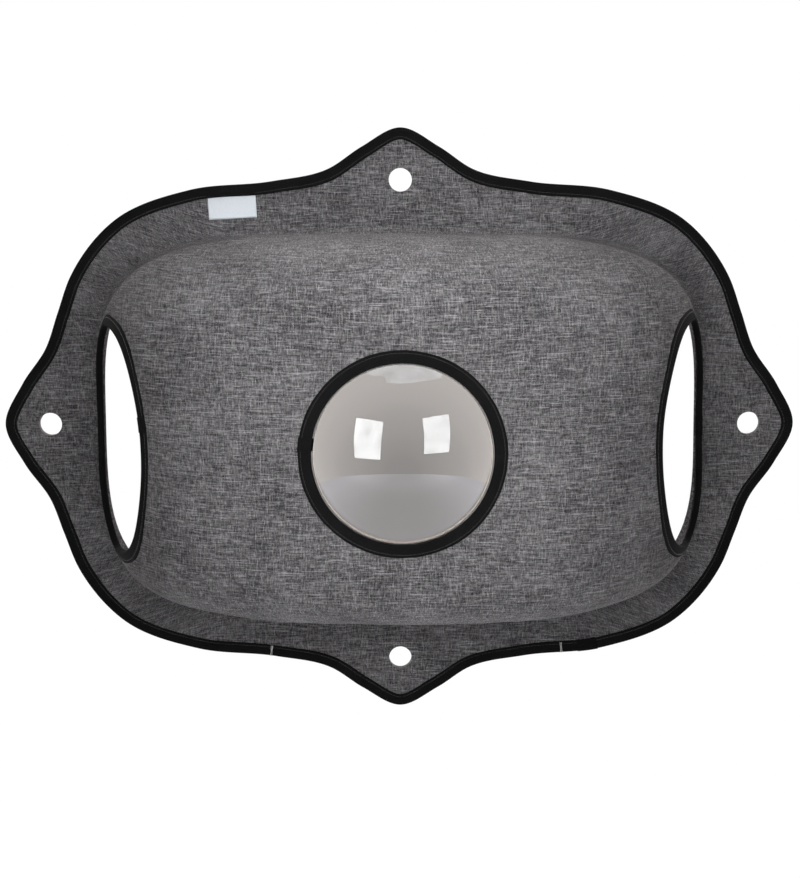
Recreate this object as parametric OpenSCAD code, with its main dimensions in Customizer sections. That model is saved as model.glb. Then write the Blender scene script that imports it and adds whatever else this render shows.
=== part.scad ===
// Window-mounted cat pod: a moulded foam shell covered in woven cloth, with a flat flange that
// lies on the glass, four ears with fixing holes, a doorway in each side and a clear bubble window.
// X runs across, Z is up and the room is towards -Y. The origin is the centre of the four ear holes
// on the flange's back, and the rim tape stands between that face and the glass.

/* [Overall size] */
// Width across the tips of the two side ears
width = 686; // [620:1:780]
// Height across the tips of the top and bottom ears
height = 508; // [470:1:580]
// Distance from the glass to the flat land on the front of the pod
front_depth = 177; // [150:1:210]

/* [Laminate] */
// Thickness of the moulded foam core
foam_t = 5; // [3:0.5:8]
// Thickness of the woven cover on the room side
cover_t = 0.8; // [0.5:0.1:1.5]
// Thickness of the woven lining on the glass side
lining_t = 0.8; // [0.5:0.1:1.5]

/* [Pod] */
// Flange from a side ear's tip to the foot of the pod's wall, on the lining
side_flange = 88.5; // [84:0.5:100]
// Flange from the top or bottom ear's tip to the foot of the pod's wall, on the lining
top_flange = 96.5; // [90:0.5:104]
// Radius of the moulded crease between flange and wall, on the lining
crease_r = 14; // [12:0.5:18]
// Squareness of the pod's outline, where 2 is an ellipse
plan_power = 4; // [3:0.1:4.6]
// Flat land left round the window's binding
land_margin = 20; // [8:1:30]

/* [Ear holes] */
// Diameter of the four punched holes
hole_d = 20; // [12:0.5:24]
// Distance from a side ear's tip to its hole's centre
side_hole_inset = 39; // [34:0.5:48]
// Distance from the top or bottom ear's tip to its hole's centre
top_hole_inset = 44; // [36:0.5:52]

/* [Side doorways] */
// Height of wall left between a doorway's end and the top or bottom of the pod's foot
door_head = 63.5; // [56:0.5:84]
// Clear size of a doorway, measured round the curve of the wall from back to front
door_run = 124; // [100:1:136]
// Part of that size that lies behind the doorway's widest line
door_back = 38; // [24:1:46]
// Wall left between the crease and the doorway's back edge
door_sill = 7; // [6:0.5:16]
// Squareness of a doorway, where 2 is an ellipse
door_power = 2.3; // [2:0.1:3.2]
// Distance that the left doorway's middle sits under the pod's
left_drop = 4.2; // [0:0.1:6]
// Distance that the right doorway's middle sits under the pod's
right_drop = 0.4; // [0:0.1:6]

/* [Window] */
// Clear diameter inside the window's binding
window_d = 140.8; // [110:0.2:150]
// Rise of the bubble's dome in front of the window's binding
bubble_rise = 31; // [18:1:50]
// Wall thickness of the bubble
bubble_t = 2; // [1.5:0.1:3]
// Width of the bubble's sewn flange
bubble_flange = 8.5; // [6:0.1:9]
// Radial clearance between the bubble and the binding that it passes through
bubble_clear = 0.6; // [0.3:0.1:1.5]

/* [Binding tape] */
// Thickness of the woven tape
tape_t = 0.8; // [0.5:0.1:1.2]
// Width of tape that shows round the rim
rim_tape_w = 10; // [8:0.5:13]
// Width of tape that shows round a doorway
door_tape_w = 8; // [7:0.5:9.5]
// Width of tape that shows round the window
window_tape_w = 10; // [9.5:0.1:13]
// Clearance between a doorway's tape and the cover
tape_clear = 0.3; // [0.3:0.05:0.5]
// Clearance between a doorway's tape and the lining
tape_back_clear = 0.75; // [0.7:0.05:0.9]

/* [Thread] */
// Width of a row of stitches
thread_w = 0.6; // [0.4:0.1:1]
// Height of a row of stitches over the tape
thread_h = 0.3; // [0.2:0.05:0.5]
// Distance of a row of stitches from the tape's inner edge
seam_inset = 2; // [1.5:0.1:3]
// Places across the width of the two thread tacks on the lower rim
tack_x = [-115, 143];
// Thickness of a thread tack, across and over the tape
tack_t = 0.9; // [0.6:0.1:1.4]

/* [Label] */
// Width of the blank woven label
label_w = 41; // [30:1:60]
// Height of the label that hangs below the rim tape
label_h = 18.5; // [12:0.5:26]
// Thickness of the label
label_t = 0.5; // [0.3:0.1:0.8]
// Place of the label's centre across the width
label_x = -144; // [-170:1:-120]
// Tilt of the label, anticlockwise seen from the room
label_tilt = 3.5; // [0:0.5:6]
// Gap between the label and the rim tape
label_clear = 0.4; // [0.2:0.1:1]

/* [Hidden] */

$fn = 96;
// Overrun of a cutter past the solid that it cuts
over = 1;
// Reach of a doorway's cutter past both faces of the wall
door_over = 16;
// Samples between two knots of the rim, of which every second one starts a column of the shell
rim_steps = 4;
crease_steps = 3;
wall_steps = 12;
door_steps = 64;
// Rounds of the search for the angle at which the wall stands at a given height
search_rounds = 6;

laminate_t = lining_t + foam_t + cover_t;
// Depth of the lining's glass side behind the flat land, from the flange's own lining
land_h = front_depth - tape_t - laminate_t;
pod_a = width / 2 - side_flange;
pod_c = height / 2 - top_flange;
door_h = 2 * (pod_c - door_head);
window_r = window_d / 2;
land_r = window_r + window_tape_w + land_margin;
// Length of the wall's curve from crease to land, as a quarter of a near circle
wall_run = PI / 4 * (pod_a - land_r + land_h - crease_r);

// Knots of one quarter of the rim, from the side ear's tip to the top ear's tip, as shares of the
// half width and the half height
rim_shares = [[1, 0], [0.955, 0.137], [0.893, 0.26], [0.86, 0.382], [0.826, 0.503], [0.707, 0.697],
              [0.524, 0.793], [0.32, 0.822], [0.18, 0.863], [0.097, 0.936], [0, 1]];
last_share = len(rim_shares) - 1;
rim_knots = [for (side = [0:3], i = [0:last_share - 1])
    let (k = side % 2 == 0 ? rim_shares[i] : rim_shares[last_share - i],
         sx = side == 1 || side == 2 ? -1 : 1,
         sz = side > 1 ? -1 : 1)
    [sx * k[0] * width / 2, sz * k[1] * height / 2]];

function wrapped(list, i) = list[(i + len(list)) % len(list)];

// Tangent of the rim at knot i, weighted by the chords on both sides
function knot_slope(i) =
    let (a = wrapped(rim_knots, i - 1), b = wrapped(rim_knots, i), c = wrapped(rim_knots, i + 1),
         ab = norm(b - a), bc = norm(c - b))
    ((b - a) / ab * bc + (c - b) / bc * ab) / (ab + bc);

// Point of the rim at share t of the way from knot i to the next one
function rim_point(i, t) =
    let (p = rim_knots[i], q = wrapped(rim_knots, i + 1), d = norm(q - p),
         m = knot_slope(i) * d, n = knot_slope(i + 1) * d)
    (2 * t^3 - 3 * t^2 + 1) * p + (t^3 - 2 * t^2 + t) * m
        + (3 * t^2 - 2 * t^3) * q + (t^3 - t^2) * n;

rim_line = [for (i = [0:len(rim_knots) - 1], s = [0:rim_steps - 1]) rim_point(i, s / rim_steps)];

// The rim drawn in by the distance d
function rim_inset(d) = [for (i = [0:len(rim_line) - 1])
    let (along = wrapped(rim_line, i + 1) - wrapped(rim_line, i - 1))
    rim_line[i] + d * [-along[1], along[0]] / norm(along)];

laminate_edge = rim_inset(tape_t);
columns = len(laminate_edge) / 2;
column_angles = [for (j = [0:columns - 1]) atan2(laminate_edge[2 * j][1], laminate_edge[2 * j][0])];

// Outline of the wall's foot as a superellipse: its radius at angle t, and that radius's slope
function plan_r(t) =
    pow(pow(abs(cos(t)) / pod_a, plan_power) + pow(abs(sin(t)) / pod_c, plan_power), -1 / plan_power);
function plan_slope(t) =
    let (c = abs(cos(t)), s = abs(sin(t)), quarter = sign(cos(t)) * sign(sin(t)))
    plan_r(t)^(plan_power + 1) * quarter * (c^(plan_power - 1) * s / pod_a^plan_power
        - s^(plan_power - 1) * c / pod_c^plan_power);

// Profile of the lining's glass side. u runs from -1 at the flange to 0 at the top of the crease,
// and on to 1 at the flat land, along a quarter of an ellipse.
function wall_r(t, u) = u < 0
    ? plan_r(t) + crease_r * (1 - cos(90 * u))
    : land_r + (plan_r(t) - land_r) * cos(90 * u);
function wall_depth(u) = u < 0
    ? crease_r * (1 + sin(90 * u))
    : crease_r + (land_h - crease_r) * sin(90 * u);

// Unit normal of the wall at angle t and profile place u, pointing to the room
function wall_normal(t, u) =
    let (r_slope = plan_slope(t) * (u < 0 ? 1 : cos(90 * u)),
         r_step = u < 0 ? crease_r * sin(90 * u) : -(plan_r(t) - land_r) * sin(90 * u),
         depth_step = u < 0 ? crease_r * cos(90 * u) : (land_h - crease_r) * cos(90 * u),
         r = wall_r(t, u),
         along = [r_slope * cos(t) - r * sin(t), 0, r_slope * sin(t) + r * cos(t)],
         up = [r_step * cos(t), -depth_step, r_step * sin(t)],
         n = cross(along, up))
    n / norm(n);

// Point at the height d over the lining's glass side
function wall_point(t, u, d) =
    [wall_r(t, u) * cos(t), -wall_depth(u), wall_r(t, u) * sin(t)] + d * wall_normal(t, u);

// Angle at which the wall at profile place u stands at the height z
function angle_at(z, u, t = 0, rounds = search_rounds) =
    rounds == 0 ? t : angle_at(z, u, asin(z / wall_r(t, u)), rounds - 1);

// Profile places of the shell's rings
ring_places = concat([for (i = [0:crease_steps - 1]) i / crease_steps - 1],
                     [for (i = [0:wall_steps]) i / wall_steps]);
rings = len(ring_places);
rim_count = len(laminate_edge);
surface_count = rim_count + rings * columns + 1;

// Points of one face of a layer: its rim, its rings and the centre of the land
function face_points(d) = concat(
    [for (p = laminate_edge) [p[0], -d, p[1]]],
    [for (u = ring_places, j = [0:columns - 1]) wall_point(column_angles[j], u, d)],
    [[0, -land_h - d, 0]]);

function ring_index(i, j) = rim_count + i * columns + j % columns;

// Triangles of one face of a layer, seen from the room
face_triangles = concat(
    [for (j = [0:columns - 1], side = [0:2])
        let (a = ring_index(0, j), b = ring_index(0, j + 1), p = 2 * j, q = 2 * j + 1,
             r = (2 * j + 2) % rim_count)
        side == 0 ? [a, p, q] : side == 1 ? [a, q, b] : [b, q, r]],
    [for (i = [0:rings - 2], j = [0:columns - 1], side = [0:1])
        let (a = ring_index(i, j), b = ring_index(i, j + 1), c = ring_index(i + 1, j),
             d = ring_index(i + 1, j + 1))
        side == 0 ? [a, b, d] : [a, d, c]],
    [for (j = [0:columns - 1]) [ring_index(rings - 1, j), ring_index(rings - 1, j + 1), surface_count - 1]]);

// One layer of the shell before cutting, from the height low to the height high
module shell_layer(low, high) {
    rim_wall = [for (i = [0:rim_count - 1], side = [0:1])
        let (next = (i + 1) % rim_count)
        side == 0 ? [i, next, surface_count + next] : [i, surface_count + next, surface_count + i]];
    polyhedron(
        points = concat(face_points(low), face_points(high)),
        faces = concat([for (f = face_triangles) [f[0], f[1], f[2]]],
                       [for (f = face_triangles) surface_count * [1, 1, 1] + [f[2], f[1], f[0]]],
                       [for (f = rim_wall) [f[2], f[1], f[0]]]));
}

// Superellipse coordinate: the cosine or sine with its sign kept
function squared(x, power) = sign(x) * pow(abs(x), 2 / power);

// Point of a line round a doorway in the right side whose middle sits lower by drop, grown outwards
// by g, at the height d over the lining
function door_point(i, g, d, drop) =
    let (b = 360 * i / door_steps,
         ahead = squared(cos(b), door_power),
         reach = (ahead > 0 ? door_run - door_back : door_back) + g,
         z = (door_h / 2 + g) * squared(sin(b), door_power) - drop,
         u = (door_sill + door_back + reach * ahead) / wall_run)
    wall_point(angle_at(z, u), u, d);

// Closed solid swept round such a doorway, with one corner for each [growth, height] pair
module door_sweep(corners, drop) {
    count = len(corners);
    polyhedron(
        points = [for (i = [0:door_steps - 1], c = corners) door_point(i, c[0], c[1], drop)],
        faces = [for (i = [0:door_steps - 1], c = [0:count - 1], side = [0:1])
            let (a = i * count, b = (i + 1) % door_steps * count, next = (c + 1) % count)
            side == 0 ? [a + c, a + next, b + next] : [a + c, b + next, b + c]]);
}

// Cutter of such a doorway, through every layer
module door_cutter(drop) {
    count = door_steps;
    inner = [for (i = [0:count - 1]) door_point(i, 0, -door_over, drop)];
    outer = [for (i = [0:count - 1]) door_point(i, 0, laminate_t + door_over, drop)];
    middle_u = (door_sill + door_run / 2) / wall_run;
    polyhedron(
        points = concat(inner, outer, [wall_point(0, middle_u, -door_over)],
                        [wall_point(0, middle_u, laminate_t + door_over)]),
        faces = [for (i = [0:count - 1], side = [0:3])
            let (next = (i + 1) % count)
            side == 0 ? [next, i, 2 * count]
                : side == 1 ? [count + i, count + next, 2 * count + 1]
                : side == 2 ? [i, count + next, count + i] : [i, next, count + next]]);
}

// A flat shape drawn in X and Z, from the depth back to the depth front
module plate(back, front) {
    translate([0, -back, 0])
        rotate([90, 0, 0])
            linear_extrude(front - back)
                children();
}

// A round bar along Y, from the depth back to the depth front
module round_bar(r, back, front) {
    translate([0, -back, 0])
        rotate([90, 0, 0])
            cylinder(r = r, h = front - back);
}

// A section drawn as [radius, depth] and turned about the window's axis
module turned() {
    rotate([90, 0, 0])
        rotate_extrude()
            children();
}

// One layer of the shell with its four ear holes, its window and its two doorways
module cut_layer(low, high) {
    difference() {
        shell_layer(low, high);
        for (side = [-1, 1]) {
            translate([side * (width / 2 - side_hole_inset), 0, 0])
                round_bar(hole_d / 2, low - over, high + over);
            translate([0, 0, side * (height / 2 - top_hole_inset)])
                round_bar(hole_d / 2, low - over, high + over);
        }
        round_bar(window_r + tape_t, land_h + low - over, land_h + high + over);
        door_cutter(right_drop);
        mirror([1, 0, 0])
            door_cutter(left_drop);
    }
}

module inner_lining() {
    color("dimgray")
        cut_layer(0, lining_t);
}

module foam_shell() {
    color([0.16, 0.16, 0.17])
        cut_layer(lining_t, lining_t + foam_t);
}

module outer_cover() {
    color([0.42, 0.41, 0.42])
        cut_layer(lining_t + foam_t, laminate_t);
}

module rim_binding() {
    color([0.1, 0.1, 0.1])
        difference() {
            plate(-tape_t, laminate_t + tape_t)
                polygon(rim_line);
            plate(0, laminate_t)
                polygon(laminate_edge);
            plate(-tape_t - over, laminate_t + tape_t + over)
                polygon(rim_inset(rim_tape_w));
        }
}

// Tape folded round a doorway in the right side
module door_binding(drop) {
    front = laminate_t + tape_clear;
    back = -tape_back_clear;
    edge = -tape_clear;
    color([0.1, 0.1, 0.1])
        door_sweep([[door_tape_w, front], [edge, front], [edge, back], [door_tape_w, back],
                    [door_tape_w, back - tape_t], [edge - tape_t, back - tape_t],
                    [edge - tape_t, front + tape_t], [door_tape_w, front + tape_t]], drop);
}

module right_door_binding() {
    door_binding(right_drop);
}

module left_door_binding() {
    mirror([1, 0, 0])
        door_binding(left_drop);
}

module window_binding() {
    color([0.1, 0.1, 0.1])
        turned()
            difference() {
                translate([window_r, land_h - tape_t])
                    square([window_tape_w, laminate_t + 2 * tape_t]);
                translate([window_r + tape_t, land_h])
                    square([window_tape_w, laminate_t]);
            }
}

// The dome: a cap of a sphere in front of the depth back, with its crown at the depth crown
module bubble_cap(foot_r, back, crown) {
    rise = crown - back;
    sphere_r = (foot_r * foot_r + rise * rise) / (2 * rise);
    intersection() {
        translate([0, sphere_r - crown, 0])
            rotate([90, 0, 0])
                sphere(r = sphere_r);
        round_bar(foot_r + over, back, crown + over);
    }
}

// The bubble: its dome on a straight neck through the window's binding, and the flange behind it
module bubble_window() {
    foot_r = window_r - bubble_clear;
    seat = land_h - tape_t;
    crown = front_depth + bubble_rise;
    color([0.8, 0.8, 0.8, 0.45])
        difference() {
            union() {
                bubble_cap(foot_r, front_depth, crown);
                round_bar(foot_r, seat - bubble_t / 2, front_depth);
                round_bar(window_r + bubble_flange, seat - bubble_t, seat);
            }
            bubble_cap(foot_r - bubble_t, front_depth, crown - bubble_t);
            round_bar(foot_r - bubble_t, seat - bubble_t - over, front_depth);
        }
}

module blank_label() {
    face = laminate_t;
    inset = rim_inset(rim_tape_w);
    top_edge = [for (i = [0:rim_steps * last_share]) wrapped(inset, 2 * rim_steps * last_share - i)];
    label_top = lookup(label_x, top_edge) - label_clear - label_w / 2 * tan(label_tilt);
    color("lightsteelblue")
        plate(face, face + label_t)
            translate([label_x, label_top])
                rotate(label_tilt)
                    translate([-label_w / 2, -label_h])
                        square([label_w, label_h]);
}

module rim_stitching() {
    face = laminate_t + tape_t;
    color([0.05, 0.05, 0.05])
        plate(face, face + thread_h)
            difference() {
                polygon(rim_inset(rim_tape_w - seam_inset - thread_w));
                polygon(rim_inset(rim_tape_w - seam_inset));
            }
}

// Row of stitches through the tape of a doorway in the right side
module door_stitching(drop) {
    foot = laminate_t + tape_clear + tape_t;
    inner = door_tape_w - seam_inset - thread_w;
    color([0.05, 0.05, 0.05])
        door_sweep([[inner, foot], [inner, foot + thread_h],
                    [inner + thread_w, foot + thread_h], [inner + thread_w, foot]], drop);
}

module right_door_stitching() {
    door_stitching(right_drop);
}

module left_door_stitching() {
    mirror([1, 0, 0])
        door_stitching(left_drop);
}

module window_stitching() {
    color([0.05, 0.05, 0.05])
        turned()
            translate([window_r + window_tape_w - seam_inset - thread_w, land_h + laminate_t + tape_t])
                square([thread_w, thread_h]);
}

module rim_tacks() {
    face = laminate_t + tape_t;
    low_edge = [for (i = [0:2 * rim_steps * last_share]) rim_line[2 * rim_steps * last_share + i]];
    color("white")
        for (x = tack_x) {
            slope = (lookup(x + tack_t, low_edge) - lookup(x - tack_t, low_edge)) / (2 * tack_t);
            translate([x, 0, lookup(x, low_edge)])
                rotate([0, -atan(slope), 0])
                    translate([-tack_t / 2, -face - tack_t, tack_t])
                        cube([tack_t, tack_t, rim_tape_w - seam_inset - thread_w - 2 * tack_t]);
        }
}

inner_lining();
foam_shell();
outer_cover();
rim_binding();
left_door_binding();
right_door_binding();
window_binding();
bubble_window();
blank_label();
rim_stitching();
left_door_stitching();
right_door_stitching();
window_stitching();
rim_tacks();
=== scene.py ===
"""Window-mounted cat pod: a moulded foam shell between two cloths, bound in black tape, with four
eared fixing holes, a doorway in each side and a clear bubble window. Metres, the model's frame."""
import math

import bpy
import numpy as np
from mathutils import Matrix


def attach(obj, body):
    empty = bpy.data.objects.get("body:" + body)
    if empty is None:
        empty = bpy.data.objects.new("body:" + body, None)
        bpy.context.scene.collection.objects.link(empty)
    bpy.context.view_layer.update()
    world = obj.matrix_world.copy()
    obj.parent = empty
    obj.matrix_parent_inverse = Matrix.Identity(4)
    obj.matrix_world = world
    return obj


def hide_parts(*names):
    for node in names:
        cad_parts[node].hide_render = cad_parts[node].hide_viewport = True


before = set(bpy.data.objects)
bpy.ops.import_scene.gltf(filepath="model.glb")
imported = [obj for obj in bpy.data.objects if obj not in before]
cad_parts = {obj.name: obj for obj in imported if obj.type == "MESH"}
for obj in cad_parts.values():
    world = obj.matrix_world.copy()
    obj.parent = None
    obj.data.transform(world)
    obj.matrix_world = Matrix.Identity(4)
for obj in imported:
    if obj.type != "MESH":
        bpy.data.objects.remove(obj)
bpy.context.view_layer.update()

# Overall size, laminate and pod
width, height, front_depth = 0.686, 0.508, 0.177
foam_t, cover_t, lining_t = 0.005, 0.0008, 0.0008
side_flange, top_flange, crease_r = 0.0885, 0.0965, 0.014
plan_power, land_margin = 4.0, 0.020
# Ear holes and doorways
hole_d, side_hole_inset, top_hole_inset = 0.020, 0.039, 0.044
door_head, door_run, door_back, door_sill, door_power = 0.0635, 0.124, 0.038, 0.007, 2.3
# How far each doorway's middle sits under the pod's, on the left and right
left_drop, right_drop = 0.0042, 0.0004
# Window and bubble
window_d, bubble_rise, bubble_t, bubble_flange, bubble_clear = 0.1408, 0.031, 0.002, 0.0085, 0.0002
# Binding tape, thread and label
tape_t, rim_tape_w, door_tape_w, window_tape_w = 0.0008, 0.010, 0.008, 0.010
# Share by which the doorway's tape presses the laminate together
door_pinch = 0.45
# Gap between the doorway's tape and the laminate, on its faces and inside its fold
door_gap, door_fold = 0.0001, 0.0003
# Wander of each tape's free edge
rim_wander, door_wander, window_wander = 0.00035, 0.0004, 0.0002
# Laps: the place across on the lower rim or the share of a loop, the run, and the swell of the lap
rim_lap_x, right_lap, left_lap, window_lap = 0.158, 0.49, 0.02, 0.472
rim_lap_run, loop_lap_run, lap_swell = 0.012, 0.010, 0.00035
# Pucker of the tape's legs along the seam
pucker_pitch, pucker_depth = 0.0093, 0.00007
# Steps along the rim's tape, along the other tapes and round the bubble
rim_steps, loop_steps, bubble_steps = 1400, 420, 160
seam_inset, stitch_pitch, thread_r = 0.0022, 0.0032, 0.00021
# How far a row of stitches sinks into the tape, on the room side and on the glass side
front_sink, back_sink = 0.00012, 0.00016
tack_x, tack_r, tack_pitch = (-0.115, 0.143), 0.00026, 0.00042
label_w, label_h, label_x, label_tilt = 0.041, 0.0185, -0.144, 3.5
label_tuck, label_curl, label_t = 0.0014, 0.0013, 0.0004

laminate_t = lining_t + foam_t + cover_t
land_h = front_depth - tape_t - laminate_t
# Height of the ripple on the flange, and what the wall adds to it
flange_ripple, wall_ripple = 0.00012, 0.00042
pod_a = width / 2 - side_flange
pod_c = height / 2 - top_flange
door_h = 2 * (pod_c - door_head)
window_r = window_d / 2
# Reach of a tape's leg from the laminate's edge
rim_leg, window_leg, door_leg = rim_tape_w - tape_t, window_tape_w - tape_t, door_tape_w - tape_t
land_r = window_r + window_tape_w + land_margin
wall_run = math.pi / 4 * (pod_a - land_r + land_h - crease_r)

# One quarter of the rim, from the side ear's tip to the top ear's, as shares of the half sizes
rim_shares = np.array([[1, 0], [0.955, 0.137], [0.893, 0.26], [0.86, 0.382], [0.826, 0.503],
                       [0.707, 0.697], [0.524, 0.793], [0.32, 0.822], [0.18, 0.863],
                       [0.097, 0.936], [0, 1]])


# The pod's shape

def unit(v):
    """The vector over its own length."""
    return v / np.linalg.norm(v, axis=-1, keepdims=True)


def rim_at(turn):
    """Rim at the share turn of its knots, from the right ear over the top. Between two knots it is
    a cubic, with the slope at a knot weighted by the chords on both sides."""
    first = rim_shares[:-1] * [width / 2, height / 2]
    second = rim_shares[:0:-1] * [width / 2, height / 2]
    knots = np.vstack([first, second * [-1, 1], first * [-1, -1], second * [1, -1]])
    back, ahead = knots - np.roll(knots, 1, 0), np.roll(knots, -1, 0) - knots
    ab, bc = np.linalg.norm(back, axis=1)[:, None], np.linalg.norm(ahead, axis=1)[:, None]
    slope = (back / ab * bc + ahead / bc * ab) / (ab + bc)
    place = np.mod(turn, 1) * len(knots)
    i = np.floor(place).astype(int) % len(knots)
    j = (i + 1) % len(knots)
    t = (place - np.floor(place))[..., None]
    return ((2 * t**3 - 3 * t**2 + 1) * knots[i] + (t**3 - 2 * t**2 + t) * slope[i] * bc[i]
            + (3 * t**2 - 2 * t**3) * knots[j] + (t**3 - t**2) * slope[j] * bc[i])


def rim_inward(turn):
    """Unit normal of the rim in its plane, to the inside: the tangent turned a quarter left."""
    along = rim_at(turn + 1e-4) - rim_at(turn - 1e-4)
    return unit(np.stack([-along[..., 1], along[..., 0]], -1))


fine_turns = np.linspace(0, 1, 8001)
fine_rim = rim_at(fine_turns)
fine_edge = fine_rim + tape_t * rim_inward(fine_turns)
fine_angles = np.unwrap(np.arctan2(fine_edge[:, 1], fine_edge[:, 0]))
fine_radii = np.hypot(fine_edge[:, 0], fine_edge[:, 1])


def edge_radius(t):
    """Radius of the laminate's cut edge at the angle t."""
    return np.interp(np.mod(t, 2 * math.pi), fine_angles, fine_radii, period=2 * math.pi)


def turn_at(x, top):
    """Share of the rim at the place x on its upper or lower half."""
    half = fine_rim[:, 1] > 0 if top else fine_rim[:, 1] < 0
    return fine_turns[np.argmin(np.where(half, np.abs(fine_rim[:, 0] - x), 9))]


def plan_radius(t):
    """Superellipse of the wall's foot."""
    c, s = np.abs(np.cos(t)), np.abs(np.sin(t))
    return ((c / pod_a) ** plan_power + (s / pod_c) ** plan_power) ** (-1 / plan_power)


def plan_slope(t):
    """Change of the foot's radius with the angle."""
    c, s = np.abs(np.cos(t)), np.abs(np.sin(t))
    quarter = np.sign(np.cos(t)) * np.sign(np.sin(t))
    return plan_radius(t) ** (plan_power + 1) * quarter * (
        c ** (plan_power - 1) * s / pod_a ** plan_power - s ** (plan_power - 1) * c / pod_c ** plan_power)


def wall_radius(t, u):
    """Radius of the wall at the place u, 0 over the crease and 1 at the land."""
    return land_r + (plan_radius(t) - land_r) * np.cos(math.pi / 2 * u)


def ease(x):
    """Smooth step from 0 to 1."""
    x = np.clip(x, 0, 1)
    return x * x * (3 - 2 * x)


def ripple(x, z, depth):
    """Soft unevenness of a moulded shell: crossed waves of 90 to 210 mm, strongest on the wall,
    slight on the flange and none on the land."""
    waves = (np.sin(31 * x + 17 * z + 0.6) + np.sin(-22 * x + 39 * z + 2.1)
             + 0.7 * np.sin(58 * x - 21 * z + 4.0) + 0.6 * np.sin(14 * x + 66 * z + 1.2))
    away = ease((np.hypot(x, z) - land_r) / 0.06)
    return waves * away * (flange_ripple + wall_ripple * ease(depth / 0.04))


def shell(t, v, lift=0.0, uneven=True):
    """Point of the shell at the angle t about the window's axis and the place v on its profile:
    flange from the rim at -2 to -1, crease to 0, wall along a quarter ellipse to 1, land to the
    window at 2. lift is the height over the lining's glass side, along the surface's normal."""
    t, v = np.broadcast_arrays(np.asarray(t, float), np.asarray(v, float))
    foot, slope = plan_radius(t), plan_slope(t)
    q = math.pi / 2 * np.clip(v, -1, 1)
    low = v < 0
    r = np.where(low, foot + crease_r * (1 - np.cos(q)), land_r + (foot - land_r) * np.cos(q))
    depth = np.where(low, crease_r * (1 + np.sin(q)), crease_r + (land_h - crease_r) * np.sin(q))
    slope = slope * np.where(low, 1, np.cos(q))
    r_step = np.where(low, crease_r * np.sin(q), -(foot - land_r) * np.sin(q))
    depth_step = np.where(low, crease_r, land_h - crease_r) * np.cos(q)
    c, s = np.cos(t), np.sin(t)
    a1, a3 = slope * c - r * s, slope * s + r * c
    u1, u3 = r_step * c, r_step * s
    normal = unit(np.stack([a3 * depth_step, a3 * u1 - a1 * u3, -a1 * depth_step], -1))
    r = (r + np.clip(-1 - v, 0, 1) * (edge_radius(t) - foot - crease_r)
         - np.clip(v - 1, 0, 1) * (land_r - window_r - tape_t))
    rise = lift + (ripple(r * c, r * s, depth) if uneven else 0)
    return np.stack([r * c, -depth, r * s], -1) + np.asarray(rise)[..., None] * normal


def angle_at(z, u):
    """Angle in the right half at which the wall's place u stands at the height z."""
    t = np.zeros(np.broadcast(z, u).shape)
    for _ in range(8):
        t = np.arcsin(np.clip(z / wall_radius(t, u), -1, 1))
    return t


def signed_power(x, power):
    """Cosine or sine of a superellipse."""
    return np.sign(x) * np.abs(x) ** (2 / power)


def door_lay(side):
    """Places round a doorway: turn is the share of its outline, out the distance from its edge over
    the wall, and lift the height over the lining. side is 1 on the right and -1 on the left."""
    def lay(turn, out, lift):
        b = 2 * math.pi * turn
        ahead = signed_power(np.cos(b), door_power)
        reach = np.where(ahead > 0, door_run - door_back, door_back) + out
        drop = right_drop if side > 0 else left_drop
        z = (door_h / 2 + out) * signed_power(np.sin(b), door_power) - drop
        u = (door_sill + door_back + reach * ahead) / wall_run
        t = angle_at(z, u)
        return shell(t if side > 0 else math.pi - t, u, lift)
    return lay


def rim_lay(turn, out, lift):
    """The same for the rim, where out runs inwards from the laminate's edge."""
    turn, out, lift = np.broadcast_arrays(turn, out, lift)
    p = rim_at(turn) + (tape_t + out)[..., None] * rim_inward(turn)
    return np.stack([p[..., 0], -lift - ripple(p[..., 0], p[..., 1], 0), p[..., 1]], -1)


def window_lay(turn, out, lift):
    """The same for the window's round edge."""
    turn, out, lift = np.broadcast_arrays(turn, out, lift)
    r, b = window_r + tape_t + out, 2 * math.pi * turn
    return np.stack([r * np.cos(b), -land_h - lift, r * np.sin(b)], -1)


def even_turns(lay, out, lift, count, start=0.0):
    """Shares at equal distances along a closed line."""
    t = np.linspace(0, 1, 4001)
    step = np.linalg.norm(np.diff(lay(t, out, lift), axis=0), axis=1)
    run = np.concatenate([[0], np.cumsum(step)])
    return np.interp((np.arange(count) / count + start) % 1 * run[-1], run, t), run[-1]


# Meshes

def add_piece(name, verts, faces, uvs, finish, nodes, crisp=None):
    """Mesh object at the origin from points, corner lists and corner places on the cloth."""
    mesh = bpy.data.meshes.new(name)
    mesh.from_pydata(verts.tolist(), [], faces)
    if uvs is not None:
        mesh.uv_layers.new(name="lay").data.foreach_set("uv", uvs.astype(np.float32).ravel())
    mesh.shade_smooth()
    if crisp:
        mesh.set_sharp_from_angle(angle=math.radians(crisp))
    mesh.update()
    obj = bpy.data.objects.new(name, mesh)
    bpy.context.scene.collection.objects.link(obj)
    mesh.materials.append(finish)
    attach(obj, "root")
    if nodes:
        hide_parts(*nodes)
    return obj


def outward(verts, quads, uvs):
    """The quads and their corner places, reversed where they enclose a negative volume."""
    p = verts[quads]
    volume = np.einsum("ij,ij->i", p[:, 0], np.cross(p[:, 1], p[:, 2])
                       + np.cross(p[:, 2], p[:, 3])).sum()
    return (quads, uvs) if volume > 0 else (quads[:, ::-1], uvs[:, ::-1])


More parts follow.
